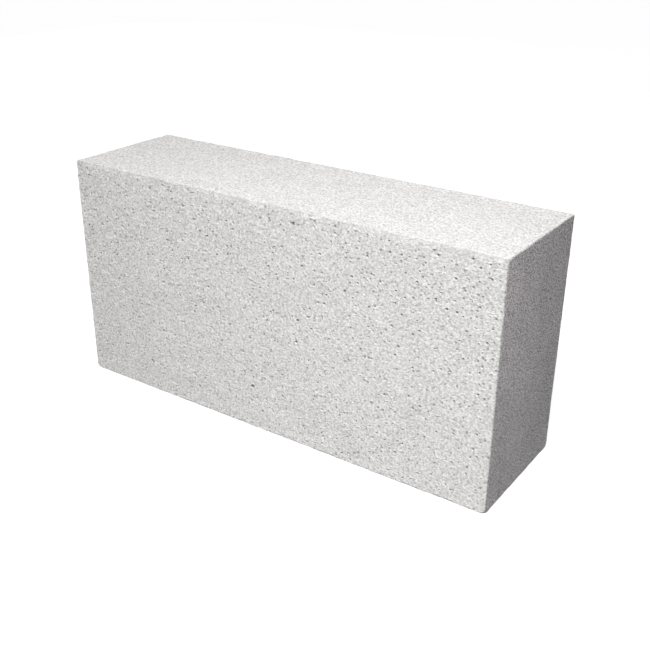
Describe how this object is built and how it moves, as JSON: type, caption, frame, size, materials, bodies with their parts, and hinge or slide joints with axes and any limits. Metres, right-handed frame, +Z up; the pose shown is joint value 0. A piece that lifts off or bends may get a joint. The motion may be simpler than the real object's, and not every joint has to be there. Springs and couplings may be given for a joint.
{
  "type": "refractory firebrick",
  "caption": "Straight rectangular insulating firebrick with six flat faces, softly worn edges and knocked corners.",
  "frame": {"origin": "centre of the long narrow face that the brick stands on", "axes": "+X along the length, +Y through the thickness from the front bed face to the back one, +Z up the width"},
  "size_m": [0.23, 0.065, 0.114],
  "materials": {
    "fired_clay": "unglazed, matte and chalky, off-white, with open pinholes"
  },
  "bodies": {
    "root": {"brick": "fired_clay"}
  },
  "joints": []
}
